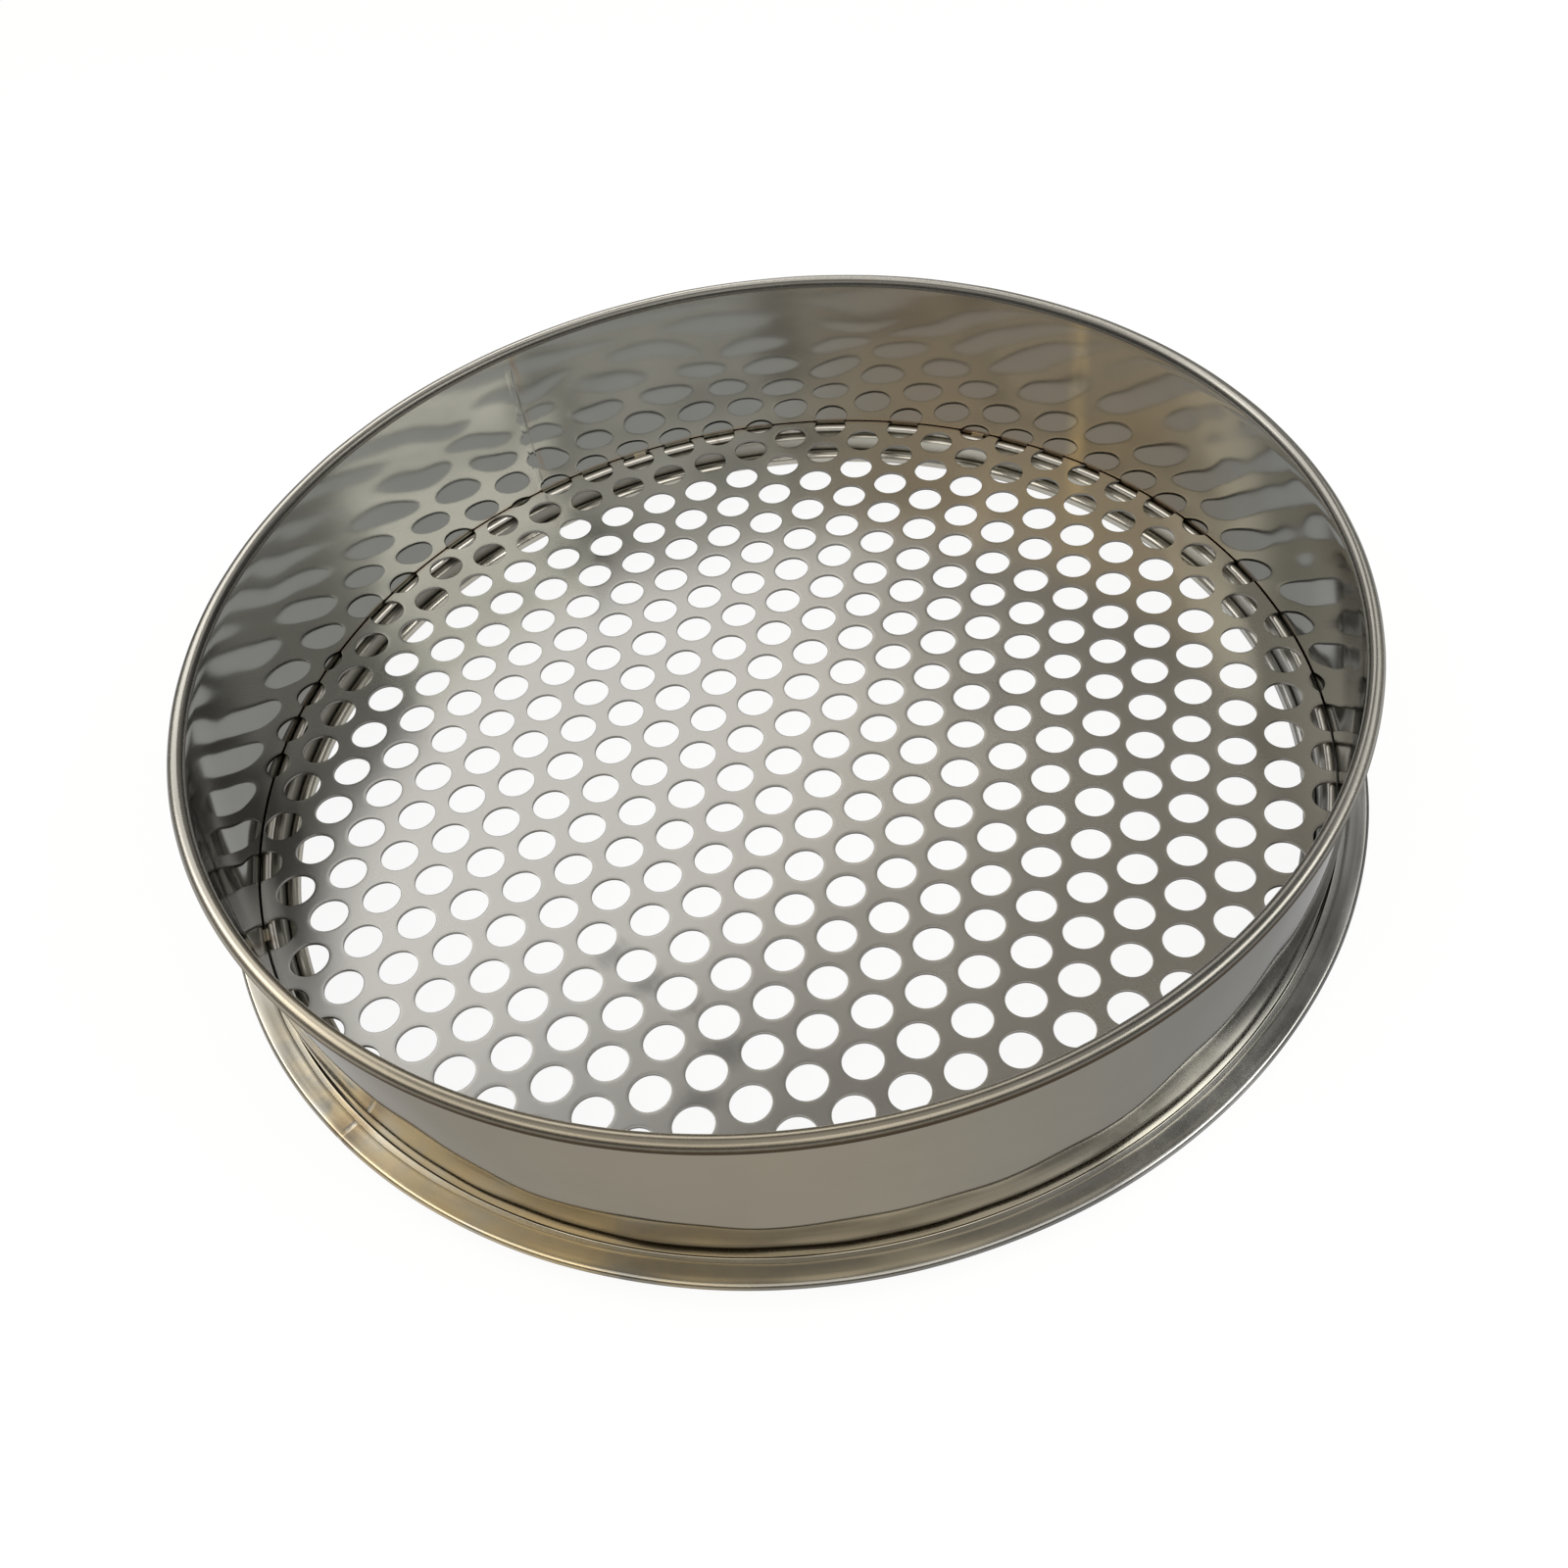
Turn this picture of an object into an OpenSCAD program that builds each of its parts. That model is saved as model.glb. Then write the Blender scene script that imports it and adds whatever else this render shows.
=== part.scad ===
// Round laboratory sieve for sand and stone chips: a rolled sheet drum with a curled rim,
// a punched plate, and a stepped ring below that nests in the rim of a like sieve.
// Z is up. The origin is the middle of the circle that the sieve rests on, and X follows
// the rows of holes.

/* [Drum] */
// Inner diameter of the drum's wall
drum_d = 300; // [240:10:400]
// Height from the plate's upper face to the top of the rim
drum_depth = 54.7; // [40:0.1:70]
// Thickness of the sheet that the drum and the lower ring are rolled from
sheet_t = 0.8; // [0.6:0.1:1]
// Inner radius of the right-angled bends in the sheet
bend_r = 0.4; // [0.3:0.1:0.6]
// Outer diameter of the curled bead round the rim
rim_bead_d = 4.2; // [3.6:0.1:6]
// Slit between a curled edge and the wall that it curls back to
curl_slit = 0.4; // [0.2:0.1:0.5]
// Distance by which the wall flares out below the plate's upper face, down to its foot
foot_flare = 0.2; // [0.1:0.1:0.4]

/* [Plate] */
// Thickness of the punched plate
plate_t = 0.8; // [0.6:0.1:2]
// Diameter of the holes
hole_d = 10.4; // [4:0.1:11]
// Distance between the middles of neighbouring holes
hole_pitch = 14.4; // [12.5:0.1:20]
// Offset of the hole nearest the middle, along the rows
pattern_shift_x = -3.3; // [-10:0.1:10]
// Offset of the hole nearest the middle, across the rows
pattern_shift_y = -3.3; // [-10:0.1:10]
// Gap between the plate's edge and the wall
plate_gap = 0.3; // [0.1:0.1:0.6]
// Least depth to which a hole at the plate's edge bites into it
edge_bite = 1.2; // [0.5:0.1:3]

/* [Plate support] */
// Diameter of the wire hoop that the plate rests on
hoop_wire_d = 2.3; // [1.6:0.1:3]
// Gap between the hoop and the straight part of the wall's inner face
hoop_gap = 0.2; // [0.1:0.1:0.8]
// Number of tack welds under the plate's edge
tack_count = 8; // [4:1:16]
// Length of each tack weld along the wall
tack_length = 4; // [2:0.5:8]
// Clearance between a tack weld and the wall
tack_gap = 0.15; // [0.05:0.05:0.2]

/* [Lower ring] */
// Radial step from the wall's inner face to the skirt's outer face
skirt_step = 3.7; // [3:0.1:8]
// Height of the skirt below the ledge
skirt_h = 8.5; // [7:0.1:30]
// Outer diameter of the curled bead at the foot of the skirt
skirt_bead_d = 4.2; // [3.6:0.1:6]
// Width of the ledge beyond the wall's outer face
ledge_w = 7.6; // [6:0.1:12]
// Width of the groove between the wall and the cut edge of the ledge's hem
groove_w = 1.8; // [1:0.1:3]

/* [Seams] */
// Width of the upright weld in the drum's wall
drum_seam_w = 2.4; // [1.6:0.1:4]
// Bearing of the drum's weld, counted from X
drum_seam_bearing = 104.4; // [0:0.1:360]
// Height by which the drum's weld stands out of the wall's outer face
weld_crown = 0.15; // [0.05:0.05:0.3]
// Width of the weld in the lower ring
ring_seam_w = 1.6; // [1:0.1:3]
// Bearing of the lower ring's weld, counted from X
ring_seam_bearing = 206.5; // [0:0.1:360]

/* [Hidden] */
$fn = 180;
hole_fn = 48;

// The drum's wall
drum_r = drum_d / 2;
wall_out = drum_r + sheet_t;

// The three layers of the ledge: the ring's flange, the drum's foot and the hem over it
hem_layers = 3;
flange_z = skirt_h;
flange_top = flange_z + sheet_t;
foot_top = flange_top + sheet_t;

// The hem's fold
ledge_out = wall_out + ledge_w;
fold_r = hem_layers * sheet_t / 2;
fold_x = ledge_out - fold_r;
fold_z = flange_z + fold_r;
hem_edge_x = wall_out + groove_w;

// The plate on its hoop
plate_z = flange_top + hoop_wire_d;
plate_top = plate_z + plate_t;
plate_r = drum_r - plate_gap;

// The hoop's wire, and the share of its radius at which a tack weld starts
wire_r = hoop_wire_d / 2;
wire_z = flange_top + wire_r;
hoop_r = drum_r - hoop_gap - wire_r;
tack_start_share = 0.5;

// The flared foot of the wall, from the plate's upper face down to the bend of the foot
foot_bend_z = foot_top + bend_r;
foot_bend_x = wall_out + foot_flare + bend_r;
function wall_in(z) = drum_r + foot_flare * min(1, (plate_top - z) / (plate_top - foot_bend_z));

// The rim's bead
rim_r = rim_bead_d / 2;
rim_z = plate_top + drum_depth - rim_r;

// The skirt and its bead
skirt_out = drum_r - skirt_step;
skirt_in = skirt_out - sheet_t;
skirt_bead_r = skirt_bead_d / 2;

// The pattern of holes, in staggered rows
hole_r = hole_d / 2;
row_pitch = hole_pitch * sin(60);
row_reach = ceil((plate_r + hole_pitch) / row_pitch);
col_reach = ceil((plate_r + hole_pitch) / hole_pitch) + ceil(row_reach / 2);

// The angles that the welds fill
drum_seam_angle = 2 * asin(drum_seam_w / 2 / drum_r);
ring_seam_angle = 2 * asin(ring_seam_w / 2 / drum_r);
tack_angle = 2 * asin(tack_length / 2 / drum_r);

// A quarter bend in the sheet, from the right-hand side to the top
module bend() {
    intersection() {
        difference() {
            circle(bend_r + sheet_t);
            circle(bend_r);
        }
        square(bend_r + sheet_t);
    }
}

// A curled edge of outer radius r, whose wall comes up on its left, with a slit at that wall
module curl(r) {
    slit_angle = 180 + acos((r - sheet_t - curl_slit) / r);
    reach = 2 * r;
    difference() {
        circle(r);
        circle(r - sheet_t);
        polygon([[0, 0], [-reach, 0], [-reach, -reach],
                 [reach * cos(slit_angle), reach * sin(slit_angle)]]);
    }
}

// The half round fold at the ledge's outer edge, round the edge of the drum's foot
module fold() {
    intersection() {
        difference() {
            circle(fold_r);
            circle(fold_r - sheet_t);
        }
        translate([0, -fold_r])
            square([fold_r, 2 * fold_r]);
    }
}

// The drum's section: wall, curled rim, and the flared foot turned out between the ledge's layers
module drum_section() {
    flare_h = plate_top - foot_bend_z;
    wall_h = rim_z - foot_bend_z;
    translate([foot_bend_x, foot_bend_z]) {
        polygon([[-bend_r - sheet_t, 0], [-bend_r, 0],
                 [-bend_r - foot_flare, flare_h], [-bend_r - foot_flare, wall_h],
                 [-bend_r - foot_flare - sheet_t, wall_h], [-bend_r - foot_flare - sheet_t, flare_h]]);
        rotate(180)
            bend();
    }
    translate([foot_bend_x, flange_top])
        square([fold_x - foot_bend_x, sheet_t]);
    translate([drum_r + rim_r, rim_z])
        curl(rim_r);
}

// A tack weld's section, in the corner of the hoop's wire, the plate and the wall
module tack_section() {
    tack_in = hoop_r + tack_start_share * wire_r;
    difference() {
        polygon([[tack_in, wire_z], [wall_in(wire_z) - tack_gap, wire_z],
                 [wall_in(plate_z) - tack_gap, plate_z], [tack_in, plate_z]]);
        translate([hoop_r, wire_z])
            circle(wire_r, $fn = hole_fn);
    }
}

// The lower ring's section: curled foot, skirt, flange, fold and the hem's upper layer
module ring_section() {
    skirt_top = flange_z - bend_r;
    translate([skirt_out - skirt_bead_r, skirt_bead_r])
        rotate(180)
            curl(skirt_bead_r);
    translate([skirt_in, skirt_bead_r])
        square([sheet_t, skirt_top - skirt_bead_r]);
    translate([skirt_out + bend_r, skirt_top])
        rotate(90)
            bend();
    translate([skirt_out + bend_r, flange_z])
        square([fold_x - skirt_out - bend_r, sheet_t]);
    translate([fold_x, fold_z])
        fold();
    translate([hem_edge_x, foot_top])
        square([fold_x - hem_edge_x, sheet_t]);
}

// Rolled and curled drum, open by the width of its upright weld
module drum() {
    color([0.60, 0.59, 0.55])
        rotate(drum_seam_bearing + drum_seam_angle / 2)
            rotate_extrude(angle = 360 - drum_seam_angle)
                drum_section();
}

// Weld that closes the drum, flush inside and crowned outside
module drum_seam_weld() {
    crown_h = rim_z - rim_bead_d - plate_top;
    color([0.66, 0.64, 0.58])
        rotate(drum_seam_bearing - drum_seam_angle / 2)
            rotate_extrude(angle = drum_seam_angle) {
                drum_section();
                translate([wall_out, plate_top])
                    square([weld_crown, crown_h]);
            }
}

// Plate cut from punched sheet, so that the holes at its edge are cut through
module perforated_plate() {
    color([0.70, 0.69, 0.65])
        translate([0, 0, plate_z])
            linear_extrude(plate_t)
                difference() {
                    circle(plate_r);
                    for (row = [-row_reach:row_reach], col = [-col_reach:col_reach]) {
                        x = pattern_shift_x + (col + row / 2) * hole_pitch;
                        y = pattern_shift_y + row * row_pitch;
                        if (norm([x, y]) < plate_r + hole_r - edge_bite)
                            translate([x, y])
                                circle(hole_r, $fn = hole_fn);
                    }
                }
}

// Wire hoop that lies on the ring's flange and carries the plate
module plate_support_hoop() {
    color([0.78, 0.77, 0.73])
        translate([0, 0, wire_z])
            rotate_extrude()
                translate([hoop_r, 0])
                    circle(wire_r, $fn = hole_fn);
}

// Tack welds that hold the hoop and the plate to the wall
module plate_tack_welds() {
    color([0.58, 0.55, 0.50])
        for (tack = [0:tack_count - 1])
            rotate(tack * 360 / tack_count)
                rotate_extrude(angle = tack_angle)
                    tack_section();
}

// Stepped ring: skirt, flange under the plate, and the ledge hemmed over the drum's foot
module lower_ring() {
    color([0.64, 0.62, 0.56])
        rotate(ring_seam_bearing + ring_seam_angle / 2)
            rotate_extrude(angle = 360 - ring_seam_angle)
                ring_section();
}

// Weld that closes the lower ring, flush with it
module ring_seam_weld() {
    color([0.56, 0.54, 0.48])
        rotate(ring_seam_bearing - ring_seam_angle / 2)
            rotate_extrude(angle = ring_seam_angle)
                ring_section();
}

drum();
drum_seam_weld();
perforated_plate();
plate_support_hoop();
plate_tack_welds();
lower_ring();
ring_seam_weld();
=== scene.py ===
"""Round steel sieve for sand: the looks of its sheet, plate and welds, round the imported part."""
import math
from functools import cached_property
from types import SimpleNamespace

import bmesh
import bpy
import numpy as np
from bpy.props import FloatProperty, FloatVectorProperty, IntProperty, PointerProperty
from mathutils.geometry import delaunay_2d_cdt
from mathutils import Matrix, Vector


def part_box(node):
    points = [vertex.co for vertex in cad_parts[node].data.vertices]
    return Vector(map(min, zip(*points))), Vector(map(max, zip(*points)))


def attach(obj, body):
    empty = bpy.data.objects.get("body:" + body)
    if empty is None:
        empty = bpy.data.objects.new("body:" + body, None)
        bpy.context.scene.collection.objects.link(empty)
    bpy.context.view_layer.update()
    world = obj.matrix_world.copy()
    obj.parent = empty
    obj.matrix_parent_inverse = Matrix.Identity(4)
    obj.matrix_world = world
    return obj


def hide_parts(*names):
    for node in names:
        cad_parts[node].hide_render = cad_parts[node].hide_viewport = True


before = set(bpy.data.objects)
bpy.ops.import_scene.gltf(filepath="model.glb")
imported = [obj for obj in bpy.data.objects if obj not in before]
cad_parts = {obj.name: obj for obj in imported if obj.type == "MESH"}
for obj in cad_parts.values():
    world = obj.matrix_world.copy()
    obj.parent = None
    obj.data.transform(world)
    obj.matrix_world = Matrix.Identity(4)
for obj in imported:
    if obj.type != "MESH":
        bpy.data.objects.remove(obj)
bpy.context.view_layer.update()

bl_info = {
    "name": "Sand Sieve",
    "version": (1, 0, 0),
    "blender": (4, 5, 0),
    "location": "3D View > Sidebar > Sieve",
    "description": "Builds a round steel sieve with a punched plate on a packed frame",
    "category": "Object",
}

MM = 0.001
PER_METRE = 1000.0
BODY = "root"
FULL_TURN = 2 * math.pi


# sizes and colours


def length(name, description, millimetres, least=0.0):
    """A length that the user may change, kept in metres."""
    return FloatProperty(name=name, description=description, default=millimetres * MM,
                         min=least * MM, precision=5, unit="LENGTH")


def angle_from_x(name, description, degrees):
    """A bearing that the user may change, kept in radians."""
    return FloatProperty(name=name, description=description, default=math.radians(degrees),
                         subtype="ANGLE")


def colour(name, description, value):
    """A colour that the user may change, as linear red, green and blue."""
    return FloatVectorProperty(name=name, description=description, default=value, size=3,
                               min=0.0, max=1.0, subtype="COLOR")


def amount(name, description, value):
    """A level or share that the user may change."""
    return FloatProperty(name=name, description=description, default=value, min=0.0)


class SieveSizes(bpy.types.PropertyGroup):
    """Sizes of the sieve, the same as those of its solids"""

    wall_radius: length("Wall radius", "Inner radius of the drum", 150.0)
    sheet: length("Sheet", "Thickness of the rolled sheet", 0.8)
    bend: length("Bend", "Inner radius of the sheet's bends", 0.4)
    flare: length("Foot flare", "How far the wall flares out below the plate", 0.2)
    rim_bead: length("Rim bead", "Outer diameter of the curled rim", 4.2)
    slit: length("Slit", "Slit between a curled edge and the wall", 0.4)
    drum_height: length("Drum height", "Height of the rim's top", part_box("drum")[1].z * PER_METRE)
    plate_radius: length("Plate radius", "Radius of the plate",
                         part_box("perforated_plate")[1].x * PER_METRE)
    plate_foot: length("Plate underside", "Height of the plate's lower face",
                       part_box("perforated_plate")[0].z * PER_METRE)
    plate_top: length("Plate top", "Height of the plate's upper face",
                      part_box("perforated_plate")[1].z * PER_METRE)
    hole: length("Hole", "Diameter of the holes", 10.4)
    pitch: length("Pitch", "Distance between neighbouring holes", 14.4)
    edge_bite: length("Edge bite", "Least depth of a hole that cuts the plate's edge", 1.2)
    wire: length("Hoop wire", "Diameter of the wire that the plate rests on", 2.3)
    hoop_radius: length("Hoop radius", "Radius of the hoop's middle line", 148.65)
    skirt_radius: length("Skirt radius", "Outer radius of the skirt", 146.3)
    skirt_height: length("Skirt height", "Height of the skirt below the ledge", 8.5)
    skirt_bead: length("Skirt bead", "Outer diameter of the skirt's curled foot", 4.2)
    ledge_radius: length("Ledge radius", "Outer radius of the ledge",
                         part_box("lower_ring")[1].x * PER_METRE)
    hem_radius: length("Hem radius", "Radius of the hem's cut edge", 152.6)
    drum_seam: length("Drum weld", "Width of the upright weld", 2.4)
    ring_seam: length("Ring weld", "Width of the weld in the lower ring", 1.6)
    crown: length("Weld crown", "Height of the drum's weld above the wall", 0.15)
    shift_x: length("Row shift", "Offset of the middle hole along the rows", -3.3, -10.0)
    shift_y: length("Cross shift", "Offset of the middle hole across the rows", -3.3, -10.0)
    drum_seam_bearing: angle_from_x("Drum weld bearing", "Bearing of the upright weld", 104.4)
    ring_seam_bearing: angle_from_x("Ring weld bearing", "Bearing of the ring's weld", 206.5)
    steps: IntProperty(name="Steps", description="Steps of a full turn of sheet",
                       default=720, min=90)


class SieveFinish(bpy.types.PropertyGroup):
    """Colours of the sieve's steel and of the stage"""

    drum: colour("Drum", "Polished inner wall of the drum", (0.212, 0.214, 0.197))
    drum_warm: colour("Drum, warm", "Inner wall at the back right", (0.19, 0.165, 0.128))
    drum_back: colour("Drum outside", "Outer face of the drum", (0.218, 0.214, 0.196))
    # Painted warm reflection: the warm colour of the outer face at the front left.
    drum_brass: colour("Drum outside, warm", "Outer face at the front left", (0.27, 0.24, 0.186))
    rim: colour("Rim", "Curled rim", (0.31, 0.298, 0.27))
    # Painted shade: this brown under the curl of the rim stands in for its shade and dark
    # reflection.
    dust: colour("Dust", "Brown dust under the curl of the rim", (0.05, 0.032, 0.016))
    plate: colour("Plate", "Punched plate", (0.398, 0.391, 0.373))
    plate_warm: colour("Plate, warm", "Punched plate at the right", (0.456, 0.43, 0.373))
    ring: colour("Lower ring", "Ledge and skirt", (0.47, 0.448, 0.392))
    # Painted light: the foot's colour is lightened to make up for the shade in the groove.
    foot: colour("Drum foot", "Drum's foot in the ledge", (0.64, 0.61, 0.53))
    skirt: colour("Skirt inside", "Dull inner face of the skirt", (0.24, 0.23, 0.2))
    wire: colour("Hoop wire", "Drawn wire", (0.48, 0.46, 0.415))
    weld: colour("Weld", "Ground weld metal", (0.36, 0.33, 0.28))
    # Straw is also painted as a warm reflection on the rim and the ledge at the front left, and as
    # the plate's reflection of the wall's streak.
    straw: colour("Straw tint", "Pale heat tint", (0.56, 0.43, 0.22))
    # Brown also paints the shade along the plate's joint on the inner wall.
    brown: colour("Brown tint", "Darker heat tint", (0.2, 0.135, 0.085))
    # Partly painted shade: this dark colour also darkens the untorn part of a hole's wall.
    shear: colour("Torn steel", "Torn lower part of a punched edge", (0.11, 0.1, 0.085))
    floor: colour("Floor", "Floor of the stage", (0.9, 0.9, 0.895))


class SieveStage(bpy.types.PropertyGroup):
    """Levels of the lamps and the floor"""

    world: amount("World", "Level of the even light", 0.26)
    window: amount("Window", "Window at the right", 5.0)
    back: amount("Back", "Softbox at the back", 1.08)
    top: amount("Top", "Softbox overhead", 0.7)
    left: amount("Left", "Softbox at the left", 2.1)
    door: amount("Door", "Softbox at the front left", 1.9)
    front: amount("Front", "Softbox by the camera", 2.1)
    right: amount("Right", "Softbox at the right", 1.0)
    paper: amount("Paper", "Share of the floor that shows as white", 0.9)


def in_mm(sizes):
    """The sizes as the user has set them, with their lengths in millimetres."""
    kinds = sizes.bl_rna.properties
    return SimpleNamespace(**{
        name: getattr(sizes, name) * (PER_METRE if kinds[name].unit == "LENGTH" else 1)
        for name in SieveSizes.__annotations__})


def add_object(name, data):
    """A new object in the scene."""
    made = bpy.data.objects.new(name, data)
    bpy.context.scene.collection.objects.link(made)
    return made


# finishes


def math_node(operation, swapped=False):
    """A method of Reading that adds one Math node."""
    def work(self, value=0.0):
        pair = (value, self) if swapped else (self, value)
        return self.finish.node("ShaderNodeMath", {"operation": operation}, dict(enumerate(pair)))
    return work


class Reading:
    """A value in a finish. Python's operators on it add the Math nodes that work it out."""

    __add__, __radd__ = math_node("ADD"), math_node("ADD", True)
    __sub__, __rsub__ = math_node("SUBTRACT"), math_node("SUBTRACT", True)
    __mul__, __rmul__ = math_node("MULTIPLY"), math_node("MULTIPLY", True)
    __pow__, __abs__ = math_node("POWER"), math_node("ABSOLUTE")
    larger = math_node("MAXIMUM")

    def __init__(self, finish, socket):
        self.finish = finish
        self.socket = socket

    def other(self, output):
        """Another output of the same node."""
        return Reading(self.finish, self.socket.node.outputs[output])


class Finish:
    """The nodes of one material."""

    def __init__(self, name):
        self.material = bpy.data.materials.new(name)
        self.material.use_nodes = True
        self.tree = self.material.node_tree
        self.tree.nodes.clear()
        self.spot = self.place()

    def node(self, kind, settings=None, sockets=None, output=0):
        """Any node: its settings first, then the values or links of its sockets."""
        made = self.tree.nodes.new(kind)
        for name, value in (settings or {}).items():
            setattr(made, name, value)
        for key, value in (sockets or {}).items():
            if isinstance(value, Reading):
                self.tree.links.new(value.socket, made.inputs[key])
            else:
                made.inputs[key].default_value = value
        return Reading(self, made.outputs[output]) if made.outputs else None

    def place(self):
        """Where a point of the surface is, in millimetres: x, y and height."""
        spot = self.node("ShaderNodeTexCoord", output="Object")
        spot = self.node("ShaderNodeVectorMath", {"operation": "SCALE"},
                         {0: spot, "Scale": PER_METRE})
        along = self.node("ShaderNodeSeparateXYZ", {}, {0: spot})
        return along, along.other(1), along.other(2)

    def noise(self, scale, detail=2.0, roughness=0.5, spot=None):
        """Soft noise from 0 to 1, with a scale for each axis or one for all three."""
        scale = scale if isinstance(scale, tuple) else (scale,) * 3
        axes = [axis * size for axis, size in zip(spot or self.spot, scale)]
        axes = self.node("ShaderNodeCombineXYZ", {}, dict(enumerate(axes)))
        return self.node("ShaderNodeTexNoise", {"noise_dimensions": "3D"},
                         {"Vector": axes, "Scale": 1.0, "Detail": detail, "Roughness": roughness})

    def step(self, value, low, high):
        """0 below low, 1 above high, smooth between."""
        return self.node("ShaderNodeMapRange", {"interpolation_type": "SMOOTHSTEP"},
                         {"Value": value, "From Min": low, "From Max": high})

    def band(self, value, middle, half, soft):
        """1 within half of middle, fading to 0 over soft."""
        return 1.0 - self.step(abs(value - middle), half, half + soft)

    def toward(self, middle, half, soft):
        """1 within half of a bearing in degrees, fading to 0 over soft, all the way round."""
        away = 180.0 - abs(abs(self.turn - middle) - 180.0)
        return 1.0 - self.step(away, half, half + soft)

    def bearing(self, x, y):
        """Bearing of a point from the origin, in degrees."""
        turn = self.node("ShaderNodeMath", {"operation": "ARCTAN2"}, {0: y, 1: x})
        return turn * math.degrees(1.0)

    @cached_property
    def turn(self):
        """Bearing of the surface round the sieve, in degrees."""
        return self.bearing(*self.spot[:2])

    @cached_property
    def radius(self):
        """Distance of the surface from the sieve's axis, in millimetres."""
        x, y, _ = self.spot
        return (x * x + y * y) ** 0.5

    def mix(self, share, first, second):
        """One colour into another."""
        def whole(value):
            return value if isinstance(value, Reading) else (*value, 1.0)
        return self.node("ShaderNodeMix", {"data_type": "RGBA"},
                         {0: share, 6: whole(first), 7: whole(second)}, output=2)

    def shade(self, tint, level):
        """A colour times a number."""
        first = tint if isinstance(tint, Reading) else tuple(tint)
        return self.node("ShaderNodeVectorMath", {"operation": "SCALE"}, {0: first, "Scale": level})

    def bump(self, height, depth_mm):
        """The normal of a fine relief, depth_mm deep."""
        return self.node("ShaderNodeBump", {}, {"Height": height, "Distance": depth_mm * MM,
                                                "Strength": 1.0})

    def metal(self, base, roughness, normal, edge=1.0):
        """A bare metal surface as the material's output, dimmed by edge at a slant."""
        surface = self.node("ShaderNodeBsdfPrincipled", {},
                            {"Base Color": base, "Roughness": roughness, "Metallic": 1.0,
                             "Specular Tint": (edge, edge, edge, 1.0), "Normal": normal})
        self.node("ShaderNodeOutputMaterial", {}, {"Surface": surface})
        return self.material


def rolled_marks(f):
    """Fine lines round rolled sheet, soft clouds and wiped patches."""
    return (f.noise((0.03, 0.03, 2.4), 3.0, 0.6), f.noise((0.03, 0.03, 0.05), 3.0),
            f.noise((0.11, 0.11, 0.03)))


# Bearings in degrees of what is seen on more than one piece
# The first bearing is where the painted warm reflection lies on the outer wall and the ledge.
WARM_REFLECTION_SIDE = -140.0
GREY_SIDE = -45.0
STRAW_STREAK = 31.8
# Heights in millimetres: below the first pair the wall's foot is lightened with painted light, and
# between the next two pairs a brown painted shade along the plate's joint starts and fades out
FOOT_PAINTED_LIGHT = (11.8, 12.4)
JOINT_SHADE_STARTS = (12.0, 12.5)
JOINT_SHADE_ENDS = (13.2, 15.0)


def inner_wall_finish(look):
    """Mirror-bright inner wall: warmer at the back right, darker along the weld, with painted shade
    along the plate and at the right, and painted light on its foot below the plate.
    """
    f = Finish("drum steel inside")
    z = f.spot[2]
    lines, cloud, wipe = rolled_marks(f)
    base = f.mix(f.toward(38.0, 14.0, 26.0), look.drum, look.drum_warm)
    base = f.shade(base, 0.94 + 0.12 * (cloud - 0.5) + 0.05 * (lines - 0.5) + 0.08 * wipe)
    wander = 0.9 * (f.noise((0.02, 0.02, 0.12)) - 0.5)
    seam = math.degrees(bpy.context.scene.sieve_sizes.drum_seam_bearing)
    base = f.mix(0.45 * f.band(f.turn + wander, seam - 0.9, 0.12, 0.35) * f.step(cloud, 0.36, 0.56),
                 base, look.brown)
    streak = f.band(f.turn + 1.8 * wander, STRAW_STREAK, 0.2, 1.8)
    streak = streak * f.step(wipe + 0.3 * lines, 0.35, 0.85)
    base = f.mix(0.28 * streak, base, look.straw)
    # Painted shade: darker round bearing 3 at the right.
    base = f.shade(base, 1.0 - 0.14 * f.toward(3.0, 8.0, 12.0))
    # Painted shade: brown along the plate's joint, fading out up the wall.
    joint_shade = 1.0 - f.step(z + 1.6 * wipe, *JOINT_SHADE_ENDS)
    base = f.mix(0.4 * joint_shade * f.step(z, *JOINT_SHADE_STARTS), base, look.brown)
    # Painted light: the wall's foot below the plate's top is lightened.
    base = f.shade(base, 2.2 - 1.2 * f.step(z, *FOOT_PAINTED_LIGHT))
    rough = 0.055 + 0.035 * f.step(z, 18.0, 58.0) + 0.03 * (cloud - 0.5) + 0.02 * (lines - 0.5)
    return f.metal(base, rough, f.bump(lines, 0.0004), 0.72)


def outer_wall_finish(look):
    """Polished outer wall: a painted warm reflection at the front left, greyer to the right, with a
    painted dark reflection band.
    """
    f = Finish("drum steel outside")
    lines, cloud, wipe = rolled_marks(f)
    # Painted warm reflection at the front left.
    warm = f.toward(WARM_REFLECTION_SIDE, 30.0, 48.0)
    base = f.mix(warm, look.drum_back, look.drum_brass)
    # Painted reflection: a darker upright band round bearing -53.
    tone = 0.95 - 0.22 * f.toward(-53.0, 5.0, 8.0)
    base = f.shade(base, tone + 0.14 * (cloud - 0.5) + 0.06 * (lines - 0.5) + 0.06 * wipe)
    rough = 0.055 + 0.04 * (cloud - 0.5) + 0.03 * (lines - 0.5)
    return f.metal(base, rough, f.bump(lines, 0.0005), 0.62)


def foot_finish(look):
    """The drum's foot where it lies in the ledge, lightened with painted light."""
    return ring_finish("satin foot steel", look.foot, 0.26, look)


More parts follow.
